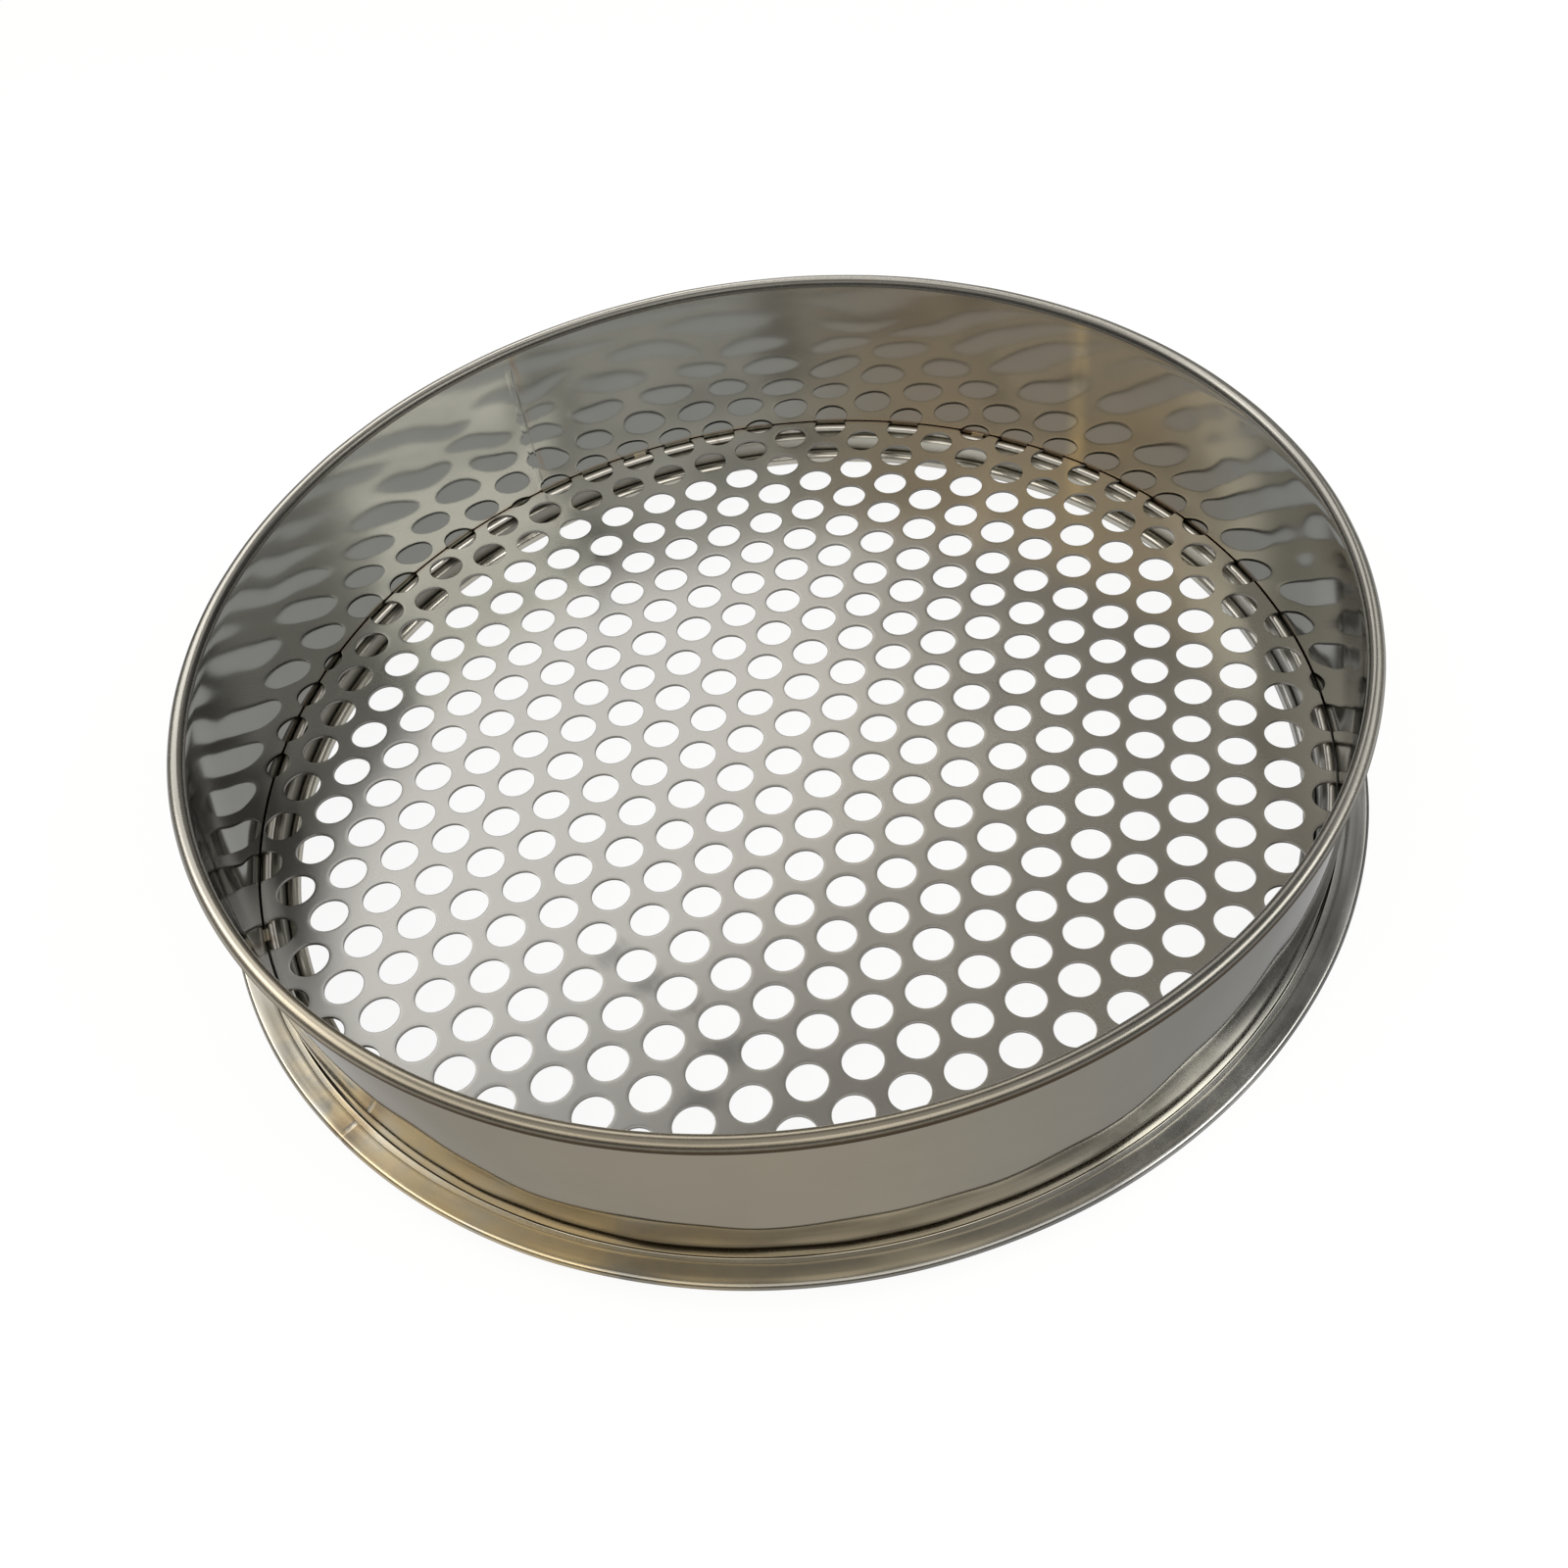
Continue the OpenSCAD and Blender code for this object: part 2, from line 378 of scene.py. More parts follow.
def rim_finish(look):
    """Curled rim: satin on top with painted highlight bands, a painted warm reflection at the front
    left, and brown painted shade below the curl.
    """
    f = Finish("rolled rim steel")
    z = f.spot[2]
    lines, cloud, wipe = rolled_marks(f)
    scuff = f.noise(0.5, 3.0, 0.65)
    # Painted warm reflection: straw colour on the rim at the front left.
    base = f.mix(0.24 * f.toward(-125.0, 20.0, 34.0), look.rim, look.straw)
    base = f.shade(base, 0.92 + 0.2 * (cloud - 0.5) + 0.12 * (scuff - 0.5) + 0.06 * wipe)
    sizes = in_mm(bpy.context.scene.sieve_sizes)
    bead = sizes.rim_bead / 2
    roll = f.bearing(f.radius - sizes.wall_radius - bead, z - sizes.drum_height + bead)
    # Painted highlight and shade on the bead by its roll angle: bright bands on top at the back,
    # darker at the front except on its top.
    back = f.toward(90.0, 62.0, 34.0)
    front = f.toward(-100.0, 34.0, 26.0)
    painted_bead_light = 1.2 + back * (1.6 * f.band(roll, 98.0, 14.0, 18.0) - 0.62
                         - 0.32 * f.band(roll, 140.0, 6.0, 9.0)) \
        + front * (0.9 * f.step(roll, 84.0, 112.0) - 0.7)
    base = f.shade(base, painted_bead_light)
    # Painted shade: brown below the curl, stronger at the front.
    under = 1.0 - f.step(roll + 8.0 * (scuff - 0.5), 8.0, 28.0)
    base = f.mix(0.92 * under * (0.35 + 0.65 * front), base, look.dust)
    rough = 0.26 + 0.08 * (scuff - 0.5) + 0.05 * (lines - 0.5) + 0.14 * under
    return f.metal(base, rough, f.bump(lines + 0.5 * scuff, 0.0006), 0.6)


# Painted shade where the plate's dents reflect darker: x, y, reach and depth of tone
DENT_SHADES = ((-66.0, -47.0, 5.0, 0.3), (-60.0, -59.0, 5.0, 0.38), (-52.0, -70.0, 4.0, 0.3),
           (-48.0, -87.0, 6.0, 0.34), (-58.0, -98.0, 5.0, 0.3), (-28.0, 112.0, 16.0, 0.22),
           (22.0, 127.0, 14.0, 0.22), (57.0, -5.0, 14.0, 0.16))


def plate_finish(name, roughness, look):
    """Mill-finished plate: lines along the rolling direction, hazy patches, scuffs, painted shade
    over its dents and a painted reflection of the wall's streak.
    """
    f = Finish(name)
    x, y, z = f.spot
    lines = f.noise((0.05, 2.6, 0.05), 3.0, 0.6)
    cloud = f.noise((0.022, 0.022, 0.02), 3.0)
    slant = (x * 0.35 + y * 0.1, y * 0.06 - x * 0.02, z * 0.1)
    scuff = f.noise(1.0, 4.0, 0.7, slant)
    level = 0.96 + 0.16 * (cloud - 0.5) + 0.02 * (lines - 0.5) + 0.03 * (scuff - 0.5)
    # Painted shade over the dents.
    for along, across, reach, tone in DENT_SHADES:
        away = ((x - along) ** 2.0 + (y - across) ** 2.0) ** 0.5
        level = level - tone * (1.0 - f.step(away + 5.0 * (scuff - 0.5), 0.2 * reach, 1.4 * reach))
    side = f.step(0.9 * x - 0.4 * y, -60.0, 100.0)
    base = f.shade(f.mix(side, look.plate, look.plate_warm), level)
    # Painted reflection of the wall's straw streak, on the plate below it.
    streak = f.toward(STRAW_STREAK, 1.0, 5.0) * f.step(f.radius, 105.0, 140.0)
    base = f.mix(0.16 * streak, base, look.straw)
    rough = roughness + 0.08 * (cloud - 0.5) + 0.02 * (lines - 0.5) + 0.02 * (scuff - 0.5)
    return f.metal(base, rough, f.bump(lines, 0.0006))


# Height above the plate's underside at which the torn part of a punched edge ends, and its fade
TEAR_HEIGHT = 0.36
TEAR_FADE = 0.18


def punched_finish(look):
    """Wall of a punched hole: burnished above, torn and dull below, and darkened all over with
    painted shade.
    """
    f = Finish("punched wall of a hole")
    z = f.spot[2]
    tear = in_mm(bpy.context.scene.sieve_sizes).plate_foot + TEAR_HEIGHT
    drag = f.noise((2.4, 2.4, 0.25), 3.0, 0.65)
    torn = 1.0 - f.step(z + 0.25 * drag, tear, tear + TEAR_FADE)
    # Painted shade: the wall of the hole is darkened throughout, most where it is torn.
    base = f.mix(0.45 + 0.55 * torn, f.shade(look.plate, 0.5 + 0.3 * drag), look.shear)
    rough = 0.32 + 0.25 * torn + 0.1 * (drag - 0.5)
    return f.metal(base, rough, f.bump(drag, 0.01))


# Stretches of the ledge darkened with painted shade: bearing, half width and fade in degrees, share
LEDGE_SHADES = ((-163.0, 6.0, 8.0, 1.0), (-41.0, 7.0, 9.0, 0.9), (-108.0, 12.0, 14.0, 0.45))
# Radii in millimetres between which the ledge's tones give way to those of its fold, which is
# darkened with painted shade
LEDGE_ENDS = (155.0, 157.2)
FOLD_STARTS = (157.2, 157.8)


def ring_finish(name, tint, roughness, look, lift=0.0):
    """Satin ring: turning lines and scuffs, a brown tint along its weld, painted shade on its fold
    and on stretches of the ledge, a painted highlight round bearing -71, a painted warm reflection
    at the front left, and painted light at the right by lift.
    """
    f = Finish(name)
    lines = f.noise((3.0, 3.0, 0.02), 3.0, 0.6, (f.radius, f.spot[2], f.turn))
    cloud = f.noise(0.06, 4.0, 0.6)
    scuff = f.noise(0.5, 3.0, 0.65)
    level = 0.9 + 0.24 * (cloud - 0.5) + 0.06 * (lines - 0.5) + 0.08 * (scuff - 0.5)
    # Painted shade on the fold, except round bearing -165.
    fold = f.step(f.radius, *FOLD_STARTS) * (1.0 - f.toward(-165.0, 23.0, 16.0))
    # Painted shade on stretches of the ledge, fading out before its fold.
    dull = sum(share * f.toward(*place) for *place, share in LEDGE_SHADES)
    dull = dull * (1.0 - f.step(f.radius, *LEDGE_ENDS))
    # Painted highlight: a bright patch round bearing -71.
    painted_flash = f.toward(-71.0, 4.0, 8.0) * (0.3 + 1.4 * cloud)
    # Painted light: brighter at the right by lift.
    level = level * (1.0 + lift * f.toward(0.0, 45.0, 45.0))
    grey = sum(tint) / 3
    base = f.mix(f.toward(GREY_SIDE, 33.0, 30.0), tint, (1.02 * grey, 1.01 * grey, 0.97 * grey))
    base = f.shade(base, level * (1.0 - 0.55 * fold) * (1.0 - 0.55 * dull + 0.8 * painted_flash))
    # Painted warm reflection: straw patches at the front left.
    warm = f.toward(WARM_REFLECTION_SIDE, 10.0, 24.0) * f.step(cloud, 0.28, 0.58)
    base = f.mix(0.6 * warm, base, look.straw)
    seam = math.degrees(bpy.context.scene.sieve_sizes.ring_seam_bearing) - 360.0
    base = f.mix(0.45 * f.toward(seam, 0.6, 2.0), base, look.brown)
    rough = roughness + 0.12 * (cloud - 0.5) + 0.05 * (scuff - 0.5) + 0.05 * (lines - 0.5)
    return f.metal(base, rough, f.bump(lines + 0.5 * scuff, 0.0006), 0.5)


def spotted(f, base, lines, roughness, look):
    """Wire or edge with the relief of its lines and a few dull spots."""
    spots = f.noise(0.3, 3.0)
    base = f.mix(0.35 * f.step(spots, 0.52, 0.7), base, look.brown)
    return f.metal(base, roughness + 0.08 * (spots - 0.5), f.bump(lines, 0.003))


def wire_finish(look):
    """Drawn wire: fine die lines along it."""
    f = Finish("drawn hoop wire")
    lines = f.noise((4.0, 4.0, 0.03), spot=(f.radius, f.spot[2], f.turn))
    base = f.shade(look.wire, 0.92 + 0.2 * (lines - 0.5))
    return spotted(f, base, lines, 0.3, look)


def hem_edge_finish(look):
    """Sheared edge of the hem: darker at the front left, with a painted highlight at the right."""
    f = Finish("sheared edge of the hem")
    lines = f.noise((0.1, 0.1, 6.0))
    # Painted highlight on the edge at the right, darker elsewhere.
    bright = 0.45 + 0.9 * f.toward(GREY_SIDE, 20.0, 30.0)
    base = f.shade(look.wire, bright * (0.92 + 0.2 * (lines - 0.5)))
    return spotted(f, base, lines, 0.2, look)


def weld_finish(name, roughness, look):
    """Ground weld metal: uneven, with straw and brown heat tint."""
    f = Finish(name)
    cloud = f.noise((0.4, 0.4, 0.25), 3.0)
    grit = f.noise(3.0, 3.0, 0.6)
    base = f.shade(look.weld, 0.85 + 0.3 * grit)
    base = f.mix(0.45 * f.step(cloud, 0.35, 0.65), base, look.straw)
    base = f.mix(0.5 * f.step(cloud, 0.58, 0.74), base, look.brown)
    return f.metal(base, roughness + 0.15 * (grit - 0.5), f.bump(grit, 0.01))


# sheet metal shapes


class Section:
    """A closed outline in radius and height, with a mark on each of its edges."""

    def __init__(self, start):
        self.points = [tuple(start)]
        self.marks = []

    def line(self, end, mark, pieces=1):
        """A straight edge in equal pieces."""
        first = np.array(self.points[-1])
        for k in range(1, pieces + 1):
            self.points.append(tuple(first + (np.array(end) - first) * k / pieces))
            self.marks.append(mark)

    def arc(self, middle, radius, start, end, mark, pieces):
        """An arc between two angles in degrees, from the last point on."""
        for k in range(1, pieces + 1):
            angle = math.radians(start + (end - start) * k / pieces)
            self.points.append((middle[0] + radius * math.cos(angle),
                                middle[1] + radius * math.sin(angle)))
            self.marks.append(mark)

    def spoke(self, middle, radius, angle, mark):
        """A straight edge to a point of a circle, at an angle in degrees."""
        turn = math.radians(angle)
        self.line((middle[0] + radius * math.cos(turn), middle[1] + radius * math.sin(turn)), mark)

    def close(self, mark):
        """The last edge, back to the start."""
        self.marks.append(mark)


# Faces that meet at more than this angle, in degrees, meet in a sharp edge
SHARP_ANGLE = 38.0


def make_piece(name, points, faces, marks, finishes, slot, node):
    """A closed piece from points in millimetres, riding on the sieve in place of a node."""
    mesh = bpy.data.meshes.new(name)
    mesh.from_pydata((points * MM).tolist(), [], faces)
    names = list(finishes)
    for finish in finishes.values():
        mesh.materials.append(finish)
    mesh.polygons.foreach_set("material_index", [names.index(mark) for mark in marks])
    shape = bmesh.new()
    shape.from_mesh(mesh)
    bmesh.ops.recalc_face_normals(shape, faces=shape.faces)
    shape.to_mesh(mesh)
    shape.free()
    mesh.polygons.foreach_set("use_smooth", [True] * len(mesh.polygons))
    mesh.set_sharp_from_angle(angle=math.radians(SHARP_ANGLE))
    piece = add_object(name, mesh)
    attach(piece, BODY)
    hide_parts(node)


def lathe(section, start, sweep, steps, shape):
    """Points, faces and marks of a section turned round the axis and shaped by the given function.
    """
    outline = np.array(section.points)
    count = len(outline)
    whole = sweep == FULL_TURN
    rings = steps if whole else steps + 1
    turn = start + sweep * np.arange(rings) / steps
    radius, height = shape(outline[:, :1], outline[:, 1:], turn[None, :])
    points = np.stack([radius * np.cos(turn), radius * np.sin(turn), height], axis=2)
    points = points.transpose(1, 0, 2).reshape(-1, 3)
    faces, marks = [], section.marks * steps
    for ring in range(steps):
        low, high = ring * count, (ring + 1) % rings * count
        for k in range(count):
            nxt = (k + 1) % count
            faces.append((low + k, high + k, high + nxt, low + nxt))
    if not whole:
        last = (rings - 1) * count
        faces.append(tuple(range(count)))
        faces.append(tuple(range(last + count - 1, last - 1, -1)))
        marks += [section.marks[0]] * 2
    return points, faces, marks


def smooth_step(value, low, high):
    """0 below low, 1 above high, smooth between."""
    share = np.clip((value - low) / (high - low), 0.0, 1.0)
    return share * share * (3.0 - 2.0 * share)


def ripple(turn, waves):
    """Waves round the sieve added up, each with its turns, start and depth."""
    return sum(depth * np.sin(turns * turn + start) for turns, start, depth in waves)


def turned_from(turn, bearing):
    """How far turn is from a bearing the short way round, in radians."""
    return np.angle(np.exp(1j * (turn - bearing)))


def seam_half(width, sizes):
    """Half of the angle that a weld of a width fills."""
    return math.asin(width / 2 / sizes.wall_radius)


# Waves left in the drum's sheet by rolling: turns round the drum, rise with height, start, depth
SHEET_WAVES = ((5, 0.02, 5.0, 0.15), (8, 0.045, 0.4, 0.13), (13, -0.07, 1.9, 0.09),
               (21, 0.11, 3.1, 0.05), (34, -0.15, 0.8, 0.024), (55, 0.06, 2.3, 0.007))
# Places where the wall is bowed out between the plate and the rim: bearing, half width, depth
SHEET_BOWS = ((5.0, 30.0, 1.45), (176.0, 27.0, 0.95))
# Flat spots round the wall: bearing, half width, depth
SHEET_FLATS = ((11.0, 11.0, 0.3), (168.0, 10.0, 0.35))
# Pucker beside the drum's weld: depth, reach, and its waves along the sheet and up it
PUCKER = (0.16, 30.0, 0.16, 0.13)
# Heights above the plate where the waves start and are full, and where they fade below the rim
WAVES_START = (0.5, 14.0)
WAVES_FADE = 20.0
# How far from the wall's inner face its waves reach, and those of the rim start
WALL_REACH = 1.2
RIM_REACH = 1.0
# Unevenness of the curled rim, never outwards: its depth, and turns, start and share of its waves
RIM_SINK = 0.05
RIM_WAVES = ((11, 0.7, 0.5), (29, 2.1, 0.3), (47, 0.0, 0.2))
# Unevenness of the hem's cut edge: turns, start, depth
HEM_WAVES = ((7, 1.0, 0.1), (19, 0.4, 0.07), (43, 2.0, 0.04))
# Depth of the dents hammered into the ledge, and of the fraying at its outer edge
DENT = 0.07
FRAY = 0.05
# Depth of the undercut inside the drum's weld, and of the dip across the ring's
UNDERCUT = 0.05
WELD_DIP = 0.06
# Layers of sheet in the ledge
HEM_LAYERS = 3
# Straight pieces up the wall, and round the hoop's wire
WALL_PIECES = 34
WIRE_SIDES = 24
# Where the hoop's ends meet, in degrees, with the depth and the width of the nick
HOOP_BUTT = 250.0
NICK = (0.12, 0.5)


def sheet_wave(turn, height, sizes):
    """How far the drum's sheet stands out of round, in millimetres."""
    foot, top = sizes.plate_top, sizes.drum_height - sizes.rim_bead
    wave = sum(depth * np.sin(turns * turn + rise * height + start)
               for turns, rise, start, depth in SHEET_WAVES)
    arc = turned_from(turn, sizes.drum_seam_bearing) * sizes.wall_radius
    deep, reach, along, rise = PUCKER
    pucker = deep * np.exp(-(arc / reach) ** 2) * np.sin(along * arc + rise * height)
    held = smooth_step(height, foot + WAVES_START[0], foot + WAVES_START[1])
    held = held * (1.0 - smooth_step(height, top - WAVES_FADE, top))
    bow = np.sin(math.pi * np.clip((height - foot) / (top - foot), 0.0, 1.0))
    out = (wave + pucker) * held
    for places, shape in ((SHEET_BOWS, bow), (SHEET_FLATS, -held)):
        for bearing, half, depth in places:
            away = np.degrees(turned_from(turn, math.radians(bearing))) / half
            out = out + depth * np.exp(-away ** 2) * shape
    return out


def drum_section(sizes):
    """Wall, curled rim and the flared foot turned out between the ledge's layers."""
    sheet, bend, wall, bead = sizes.sheet, sizes.bend, sizes.wall_radius, sizes.rim_bead / 2
    rim = (wall + bead, sizes.drum_height - bead)
    foot = sizes.skirt_height + sheet
    corner = (wall + sheet + sizes.flare + bend, foot + sheet + bend)
    fold = sizes.ledge_radius - HEM_LAYERS / 2 * sheet
    tip = 180.0 + math.degrees(math.acos((bead - sheet - sizes.slit) / bead)) - 360.0
    s = Section((wall, sizes.plate_top))
    s.line((wall, sizes.plate_top + 1.0), "inside")
    s.line((wall, rim[1] - 0.6), "inside", WALL_PIECES)
    s.line((wall, rim[1]), "rim")
    s.arc(rim, bead, 180.0, tip, "rim", 40)
    s.spoke(rim, bead - sheet, tip, "rim")
    s.arc(rim, bead - sheet, tip, 180.0, "rim", 24)
    s.line((wall + sheet, sizes.plate_top), "outside", WALL_PIECES)
    s.line((corner[0] - bend, corner[1]), "outside", 2)
    s.arc(corner, bend, 180.0, 270.0, "outside", 6)
    s.line((fold, foot + sheet), "foot", 4)
    s.line((fold, foot), "foot")
    s.line((corner[0], foot), "foot", 4)
    s.arc(corner, bend + sheet, 270.0, 180.0, "inside", 8)
    s.close("inside")
    return s


def drum_shape(sizes):
    """How the drum's sheet departs from a true turn."""
    wall, rim = sizes.wall_radius, sizes.drum_height - sizes.rim_bead

    def shape(radius, height, turn):
        bulge = sheet_wave(turn, height, sizes) * (radius < wall + WALL_REACH)
        swell = -RIM_SINK * (1.0 + ripple(turn, RIM_WAVES))
        swell = swell * smooth_step(height, rim - 1.0, rim + 2.0)
        return radius + bulge + 0.5 * swell * (radius > wall + RIM_REACH), height + swell
    return shape


DRUM_FINISHES = {"inside": ("drum steel inside", inner_wall_finish),
                 "outside": ("drum steel outside", outer_wall_finish),
                 "foot": ("satin foot steel", foot_finish),
                 "rim": ("rolled rim steel", rim_finish)}


def drum_finishes(look):
    """Finishes of the drum's sheet by face, shared with its weld."""
    return {mark: bpy.data.materials.get(name) or make(look)
            for mark, (name, make) in DRUM_FINISHES.items()}


def build_drum(sizes, look):
    """Rolled drum with its curled rim, open by the width of the weld."""
    half = seam_half(sizes.drum_seam, sizes)
    start = sizes.drum_seam_bearing + half
    parts = lathe(drum_section(sizes), start, FULL_TURN - 2 * half, sizes.steps, drum_shape(sizes))
    make_piece("rolled_drum", *parts, drum_finishes(look), "drum_steel", "drum")


def build_drum_weld(sizes, look):
    """Upright weld: flush inside with a shallow undercut, crowned and rippled outside."""
    wall, sheet = sizes.wall_radius, sizes.sheet
    half = seam_half(sizes.drum_seam, sizes)
    low, high = sizes.plate_top, sizes.drum_height - 1.5 * sizes.rim_bead
    base = drum_shape(sizes)

    def shape(radius, height, turn):
        out_radius, out_height = base(radius, height, turn)
        across = (turn - sizes.drum_seam_bearing) / half
        on_wall = smooth_step(height, low, low + 1.5)
        on_wall = on_wall * (1.0 - smooth_step(height, high - 1.5, high))
        scales = np.sin(height * 4.2 + 2.2 * across ** 2)
        dome = np.clip(1.0 - across ** 2, 0.0, 1.0)
        outer = (radius > wall + sheet / 2) * (radius < wall + sheet + 0.05)
        inner = radius < wall + sheet / 2
        crown = sizes.crown * dome * (0.8 + 0.2 * scales)
        dip = UNDERCUT * dome * (0.6 + 0.4 * scales)
        return out_radius + on_wall * (outer * crown + inner * dip), out_height
    parts = lathe(drum_section(sizes), sizes.drum_seam_bearing - half, 2 * half, 8, shape)
    metal = weld_finish("drum weld metal", 0.22, look)
    finishes = {**drum_finishes(look), "outside": metal}
    make_piece("drum_weld_bead", *parts, finishes, "weld_metal", "drum_seam_weld")


def ring_section(sizes):
    """Curled foot, skirt, flange, fold and the hem over the drum's foot."""
    sheet, bend, bead = sizes.sheet, sizes.bend, sizes.skirt_bead / 2
    skirt, flange, hem = sizes.skirt_radius, sizes.skirt_height, sizes.hem_radius
    fold_radius = HEM_LAYERS / 2 * sheet
    fold = (sizes.ledge_radius - fold_radius, flange + fold_radius)
    hem_top = flange + HEM_LAYERS * sheet
    nose = 0.16
    foot = (skirt - bead, bead)
    inner = bead - sheet
    tip = math.degrees(math.acos((inner - sizes.slit) / bead))
    corner = (skirt + bend, flange - bend)
    s = Section((hem + nose, hem_top - sheet))
    s.arc((hem + nose, hem_top - sheet + nose), nose, -90.0, -180.0, "cut edge", 3)
    s.line((hem, hem_top - nose), "cut edge")
    s.arc((hem + nose, hem_top - nose), nose, 180.0, 90.0, "cut edge", 3)
    s.line((fold[0], hem_top), "ring", 6)
    s.arc(fold, fold_radius, 90.0, -90.0, "ring", 16)
    s.line((corner[0], flange), "ring", 8)
    s.arc(corner, bend, 90.0, 180.0, "ring", 6)
    s.line((skirt, foot[1]), "ring", 4)
    s.arc(foot, bead, 0.0, -360.0 + tip, "ring", 36)
    s.spoke(foot, inner, tip, "cut edge")
    s.arc(foot, inner, tip, 360.0, "skirt", 24)
    s.line((skirt - sheet, corner[1]), "skirt", 4)
    s.arc(corner, bend + sheet, 180.0, 90.0, "skirt", 8)
    s.line((fold[0], flange + sheet), "skirt", 8)
    s.arc(fold, fold_radius - sheet, -90.0, 90.0, "ring", 8)
    s.close("ring")
    return s


def ring_shape(sizes):
    """How the hammered hem and the ledge depart from a true turn."""
    hem, ledge = sizes.hem_radius, sizes.ledge_radius
    top = sizes.skirt_height + 2 * sizes.sheet

    def shape(radius, height, turn):
        on_hem = (height > top - 0.01) * smooth_step(-radius, -hem - 2.2, -hem)
        dent = DENT * (np.sin(23 * turn + 0.9) * np.sin(9 * turn + 2.0) - 1.0)
        on_top = (height > top + 0.3) * smooth_step(radius, hem, hem + 2.0) \
            * (1.0 - smooth_step(radius, ledge - 2.0, ledge - 1.0))
        fray = FRAY * (1.0 + np.sin(17 * turn + 0.3) * np.sin(5 * turn)) \
            * smooth_step(radius, ledge - 1.2, ledge)
        return radius + on_hem * ripple(turn, HEM_WAVES) - fray, height + on_top * dent
    return shape


def build_ring(sizes, look):
    """Stepped lower ring, open by the width of its weld."""
    half = seam_half(sizes.ring_seam, sizes)
    start = sizes.ring_seam_bearing + half
    parts = lathe(ring_section(sizes), start, FULL_TURN - 2 * half, sizes.steps, ring_shape(sizes))
    finishes = {"ring": ring_finish("satin ring steel", look.ring, 0.24, look),
                "skirt": ring_finish("dull skirt steel", look.skirt, 0.38, look, 1.1),
                "cut edge": hem_edge_finish(look)}
    make_piece("stepped_ring", *parts, finishes, "ring_steel", "lower_ring")


def build_ring_weld(sizes, look):
    """Weld across the lower ring, flush and faintly rippled."""
    half = seam_half(sizes.ring_seam, sizes)
    hem_layer = sizes.skirt_height + (HEM_LAYERS - 0.5) * sizes.sheet
    base = ring_shape(sizes)

    def shape(radius, height, turn):
        out_radius, out_height = base(radius, height, turn)
        across = (turn - sizes.ring_seam_bearing) / half
        dome = np.clip(1.0 - across ** 2, 0.0, 1.0)
        dip = WELD_DIP * dome * (0.7 + 0.3 * np.sin(6.0 * radius + 2.0 * across ** 2))
        top = (height > hem_layer) * (radius < sizes.ledge_radius - 1.3)
        return out_radius, out_height - dip * top
    parts = lathe(ring_section(sizes), sizes.ring_seam_bearing - half, 2 * half, 6, shape)
    metal = weld_finish("ring weld metal", 0.25, look)
    finishes = {"ring": metal, "skirt": metal, "cut edge": metal}
    make_piece("ring_weld_bead", *parts, finishes, "weld_metal", "ring_seam_weld")


def build_seat(sizes, look):
    """Wire hoop under the plate's edge, butted where its ends meet, and metal for its tacks."""
    wire = sizes.wire / 2
    middle = (sizes.hoop_radius, sizes.plate_foot - wire)
    s = Section((middle[0] + wire, middle[1]))
    s.arc(middle, wire, 0.0, 360.0 * (WIRE_SIDES - 1) / WIRE_SIDES, "wire", WIRE_SIDES - 1)
    s.close("wire")
    butt = math.radians(HOOP_BUTT)

    def shape(radius, height, turn):
        nick = NICK[0] * np.exp(-((turn - butt) * middle[0] / NICK[1]) ** 2)
        return radius + (middle[0] - radius) * nick, height + (middle[1] - height) * nick
    parts = lathe(s, 0.0, FULL_TURN, sizes.steps, shape)
    make_piece("seat_hoop", *parts, {"wire": wire_finish(look)}, "hoop_steel", "plate_support_hoop")
    metal = weld_finish("tack weld metal", 0.35, look)
    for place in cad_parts["plate_tack_welds"].material_slots:
        place.material = metal


# punched plate


# Points round a whole hole, along the bite of a cut one, and along the edge between two bites
HOLE_POINTS = 48
BITE_POINTS = 28
EDGE_POINTS = 10
# Share of a narrow web that the roll-over of its hole may take, and the least share of its width
EDGE_SHARE = 0.7
LEAST_SHARE = 0.08
# Clearance of a point in a web from every loop, and from the plate's edge
SPOT_CLEAR = 0.9
EDGE_CLEAR = 1.5
# Distance below which two points of the plate would be one
MERGE_DISTANCE = 1e-6

# Profile of a punched edge from the land down: setback from the hole, share of the plate's
# thickness below its top, mark
PUNCH = ((1.1, 0.0, "plate"), (0.2, 0.0, "plate"), (0.08, 0.015, "land"), (0.02, 0.06, "edge"),
         (0.0, 0.2, "edge"), (0.0, 0.6, "edge"), (0.07, 1.0, "edge"))
# Setback of the plate's own cut edge at the same levels
TRIM = (0.08, 0.06, 0.04, 0.02, 0.0, 0.0, 0.02)

# Waves of the plate: run along x, run along y, start, depth
PLATE_WAVES = ((0.03, 0.041, 0.3, 0.1), (-0.062, 0.034, 1.7, 0.06), (0.085, 0.071, 4.0, 0.035),
               (0.02, -0.118, 2.2, 0.028), (0.14, -0.052, 5.1, 0.014))
# Distances from the plate's edge at which its waves start to fade and are gone
PLATE_SEATED = (28.0, 4.0)


def hole_middles(sizes):
    """Middles of the holes in staggered rows, in millimetres."""
    pitch, plate = sizes.pitch, sizes.plate_radius
    reach = plate + sizes.hole / 2 - sizes.edge_bite
    row_pitch = pitch * math.sin(math.radians(60.0))
    rows = math.ceil((plate + pitch) / row_pitch)
    cols = math.ceil((plate + pitch) / pitch) + math.ceil(rows / 2)
    middles = []
    for row in range(-rows, rows + 1):
        for col in range(-cols, cols + 1):
            x = sizes.shift_x + (col + row / 2) * pitch
            y = sizes.shift_y + row * row_pitch
            if math.hypot(x, y) < reach:
                middles.append((x, y))
    return middles


